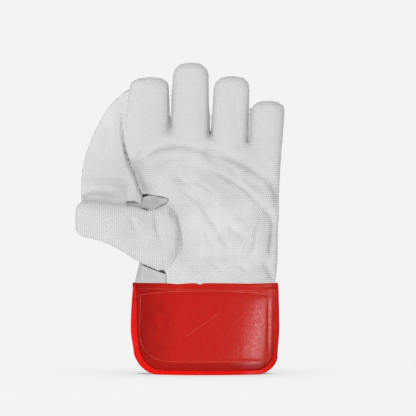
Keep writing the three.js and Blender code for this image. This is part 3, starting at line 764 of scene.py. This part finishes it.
# Painted shade: the lining is darkened at the web's foot, where it lies in deep shade, on its front
# side alone. The web leans, so its front is told from its back by how far a point lies behind a leaning
# plane.
deep_shade_sides = ((-0.037, -0.0405), (-0.0585, -0.0555))
deep_shade_ends = ((0.18, 0.176), (0.1695, 0.173))
web_lean = (0.28, 0.2)
web_middle = (-0.0175, -0.0183)
lining_colour = grey_leather.mix(grey_leather.noise(0.012).band(*smudges), plain, dull)
across, height = grey_leather.along("X"), grey_leather.along("Z")
behind = grey_leather.along("Y") - across * web_lean[0] - height * web_lean[1]
deep_shade = across.within(*deep_shade_sides) * height.within(*deep_shade_ends) * behind.band(*web_middle)
# Painted shade at the web's foot.
grey_leather.colour(grey_leather.mix(deep_shade, lining_colour, grey(105)))
grey_leather.bump(grey_leather.cells(0.0008) * -1, 0.00015)

grey_nodes = ("web_back", "crotch_gusset")
lump_radius = 0.0018
lump_columns = ((-0.0393, 0.0065), (-0.0393, 0.0090), (-0.0390, 0.0115))
lump_heights = (0.1660, 0.1690, 0.1720)
lining_lumps = [(x, y, z, lump_radius) for z in lump_heights for x, y in lump_columns]
lining_skin = {"grain": 0.0009, "rounds": 4, "close": 0.0006, "swell": 0.0002, "join": 0.009}
lining = reskin("grey_leather", grey_nodes, **lining_skin, lumps=lining_lumps)
dress(lining, grey_leather, "grey_leather", *grey_nodes)

# Cuff. Two padded panels of glossy red leather, front and back, are joined by a narrow band at
# the wrist and edged with bright red binding.
# The red is darkened towards the left as painted shade, made lighter and pinker towards the right as
# painted sheen, and is darker towards the foot.
shade_left = (-0.042, 0.002)
sheen_right = (0.02, 0.08)
darker_foot = (0.015, 0.009)
scratch_slope = 0.71
scratch_line = 0.0348
scratch_half = 0.0004
scratch_ends = ((0.002, 0.008), (0.042, 0.036))
scratch_front = (0, -0.002)
red_leather = Finish("red_leather", roughness=0.42, specular=0.3)
side = red_leather.along("X")
patchy = side + red_leather.noise(0.014, 4.0).band(0.3, 0.7, -0.006, 0.006)
# Painted shade on the left and painted sheen on the right, over the leather's own red.
dye_shade_and_sheen = red_leather.mix(patchy.band(*shade_left), tint(164, 8, 4), tint(199, 26, 13))
dye_shade_and_sheen = red_leather.mix(patchy.band(*sheen_right), dye_shade_and_sheen, tint(202, 30, 20))
dye_shade_and_sheen = red_leather.mix(red_leather.along("Z").band(*darker_foot), dye_shade_and_sheen, tint(174, 10, 4))
off = red_leather.along("Z") - side * scratch_slope - scratch_line
scratch = off.within((-scratch_half, 0), (scratch_half, 0)) * side.within(*scratch_ends)
scratch = scratch * red_leather.along("Y").band(*scratch_front)
dye_shade_and_sheen = red_leather.mix(scratch, dye_shade_and_sheen, tint(208, 84, 66))
# Painted shade: the colour darkens in the cuff's grooves.
red_leather.colour(red_leather.mix(red_leather.crease_shade(), dye_shade_and_sheen, tint(70, 5, 4)))
red_leather.rough(red_leather.noise(0.004, 4.0).band(0.3, 0.7, 0.28, 0.42))
red_leather.bump(red_leather.cells(0.0009) * -1 + red_leather.noise(0.005) * 0.8, 0.00012)

tape_low, tape_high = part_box("cuff_front_binding")
panel_low, panel_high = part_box("cuff_front_panel")
band_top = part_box("cuff_band")[1].z
cuff_middle = (tape_low.x + tape_high.x) / 2
corner_top = 0.045
corner_height = 0.028
corner_reach = 0.03
corner_pulls = (0.0031, 0.0016)


def round_off(places):
    """Draws the cuff's two lower corners in."""
    height = places[:, 2] - cad_low.z
    lower = np.clip((corner_top - height) / corner_height, 0, 1)
    for edge, way, pull in zip((tape_low.x, tape_high.x), (1, -1), corner_pulls):
        near = np.clip(1 - (places[:, 0] - edge) * way / corner_reach, 0, 1)
        places[:, 0] += way * pull * near * lower * (3 - 2 * lower) * lower


cuff_grooves = (
    (0.066, 0.96, 0.064, 0.70, 0.062, 0.42, 0.9, 1.4),
    (0.062, 0.46, 0.07, 0.17, 0.24, 0.156, 0.9, 1.4),
    (0.20, 0.157, 0.55, 0.157, 0.91, 0.157, 0.9, 1.6),
    (0.924, 0.18, 0.924, 0.60, 0.924, 0.96, 0.8, 1.4),
    (0.04, 0.93, 0.50, 1.04, 0.975, 0.925, 0.6, 1.2),
)
cuff_nodes = ("cuff_front_panel", "cuff_back_panel", "cuff_band")
rim_width = 0.012
cuff = reskin("red_leather", cuff_nodes, grain=0.0011, rounds=10, close=0.0008, swell=0.0002)
places = read(cuff, "place")
inner = cuff.vertex_groups.new(name="inner")
edges = (panel_low.x, panel_high.x, panel_low.z, panel_high.z)
rims = np.abs(places[:, [0, 0, 2, 2]] - edges).min(axis=1)
for corner, slack in enumerate(np.clip(rims / rim_width, 0, 1)):
    inner.add([corner], slack, "REPLACE")
pillow = cuff.modifiers.new("pillow", "SMOOTH")
pillow.factor = 0.5
pillow.iterations = 300
pillow.use_x = pillow.use_z = False
pillow.vertex_group = "inner"
settle(cuff)

# The panels widen towards the hem, whose top edge dips in three places, given as where, how deep
# and half how wide in metres.
tape_straight = 0.045
edge_reach = 0.014
edge_spread = 0.0028
hem_height = 0.0052
hem_edge = 0.001
hem_fade = (0.003, 0.002)
hem_dips = ((-0.003, 0.0009, 0.008), (0.019, 0.0014, 0.0025), (0.07, 0.0005, 0.02))
cuff_raise = 0.0016
places = read(cuff, "place")
rise = np.clip((places[:, 2] - tape_straight) / (band_top - tape_straight), 0, 1)
below_hem = np.clip((band_top - hem_height - places[:, 2]) / hem_edge, 0, 1)
for edge, way in ((panel_low.x, -1), (panel_high.x, 1)):
    near = np.clip(1 - (edge - places[:, 0]) * way / edge_reach, 0, 1)
    places[:, 0] += way * edge_spread * rise**2 * near * below_hem
for dip, depth, half in hem_dips:
    top = np.clip((places[:, 2] - band_top + hem_fade[0]) / hem_fade[1], 0, 1)
    places[:, 2] -= top * depth * np.exp(-(((places[:, 0] - dip) / half) ** 2))
places[:, 2] += cuff_raise * np.clip((places[:, 2] - tape_straight) / (band_top - tape_straight), 0, 1)
round_off(places)
cuff.data.vertices.foreach_set("co", places.ravel())
cuff.data.update()
mould(cuff, "cuff_front_binding", cuff_grooves)
dress(cuff, red_leather, "red_leather", *cuff_nodes)

red_binding = Finish("red_binding", roughness=0.4, specular=0.08)
fade = red_binding.noise(0.02).band(0.3, 0.7)
red_binding.colour(red_binding.mix(fade, tint(238, 20, 10), tint(222, 16, 8)))
tape_lines = (-0.0466, 0.0972)
tape_top = cad_low.z + 0.0842
tape_pull = 0.65
for node in ("cuff_front_binding", "cuff_back_binding"):
    edging = reskin(node + "_tape", (node,), grain=0.0008, rounds=6, swell=0.0003)
    places = read(edging, "place")
    rise = np.clip((places[:, 2] - tape_straight) / (tape_top - tape_straight), 0, 1)
    line = np.where(places[:, 0] < cuff_middle, *tape_lines)
    places[:, 0] += (line - places[:, 0]) * rise**2 * tape_pull
    places[:, 2] += rise * (band_top - tape_top)
    round_off(places)
    edging.data.vertices.foreach_set("co", places.ravel())
    dress(edging, red_binding, "red_binding", node)

# Stitching. Rows of pale thread hold the cuff's padding and its top edge, front and back.
thread = Finish("thread", roughness=0.7, specular=0.1)
thread.colour(thread.mix(thread.noise(0.01).band(0.4, 0.6), tint(228, 130, 108), tint(205, 84, 66)))


def stitches(name, skin, node, lines, back=False):
    """Rows of stitches sewn through a skin along lines of shares of a node's box."""
    low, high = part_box(node)
    ahead = Vector((0, -1 if back else 1, 0))
    places = []
    width, height = high.x - low.x, high.z - low.z
    for line in lines:
        points = [Vector((low.x + width * u, 0, low.z + height * v)) for u, v in line]
        wait = 0
        for start, end in zip(points, points[1:]):
            way = (end - start).normalized()
            gone = wait
            while gone < (end - start).length:
                place, facing, _, _ = skin.ray_cast(start + way * gone - ahead, ahead)
                if place is not None:
                    places.append((place, facing, way))
                gone += stitch_pitch
            wait = gone - (end - start).length
    one = bmesh.new()
    bmesh.ops.create_icosphere(one, subdivisions=1, radius=1)
    bmesh.ops.scale(one, verts=one.verts, vec=(stitch_length / 2, stitch_width / 2, stitch_width / 2))
    sewn = spread(name, one, places)
    dress(sewn, thread, None)


stitch_pitch = 0.0024
stitch_length = 0.0019
stitch_width = 0.0006
cuff_seams = (
    ((0.063, 1.021), (0.967, 0.990)),
    ((0.042, 0.926), (0.113, 0.958), (0.293, 0.986), (0.653, 0.990), (0.873, 0.958), (0.974, 0.919)),
    (
        (0.070, 0.914), (0.063, 0.463), (0.078, 0.350), (0.105, 0.265), (0.166, 0.190),
        (0.240, 0.159), (0.893, 0.159), (0.924, 0.226), (0.924, 0.95),
    ),
    ((0.964, 0.985), (0.964, 0.35)),
)
cuff_skin = skin_of(cuff)
stitches("cuff_front_thread", cuff_skin, "cuff_front_binding", cuff_seams)
stitches("cuff_back_thread", cuff_skin, "cuff_back_binding", cuff_seams, back=True)

# The red cuff would throw a red gleam on the floor. A plain grey slab inside it stands in for the
# cuff in the light the floor and the glove pass on, and is itself never seen.
flag_reach = Vector((0.068, 0.028, 0.076))
flag_back = 0.011
flag_lift = 0.0006
flag_colour = (0.08, 0.08, 0.08)
flag = bpy.data.objects.new("flag", bpy.data.meshes.new("flag"))
bpy.context.scene.collection.objects.link(flag)
slab = bmesh.new()
bmesh.ops.create_cone(slab, cap_ends=True, segments=48, radius1=1, radius2=1, depth=1)
bmesh.ops.scale(slab, verts=slab.verts, vec=flag_reach)
middle = Vector((cuff_middle, flag_back, cad_low.z + flag_lift + flag_reach.z / 2))
bmesh.ops.translate(slab, verts=slab.verts, vec=middle)
slab.to_mesh(flag.data)
slab.free()
flag_grey = bpy.data.materials.new("flag")
flag_grey.use_nodes = True
flag_shader = flag_grey.node_tree.nodes["Principled BSDF"]
flag_shader.inputs["Base Color"].default_value = (*flag_colour, 1)
flag.data.materials.append(flag_grey)
flag.visible_camera = flag.visible_glossy = False
flag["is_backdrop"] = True
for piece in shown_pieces():
    if piece.name.startswith(("red", "cuff")):
        piece.visible_diffuse = False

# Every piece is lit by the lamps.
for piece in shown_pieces():
    lit.objects.link(piece)
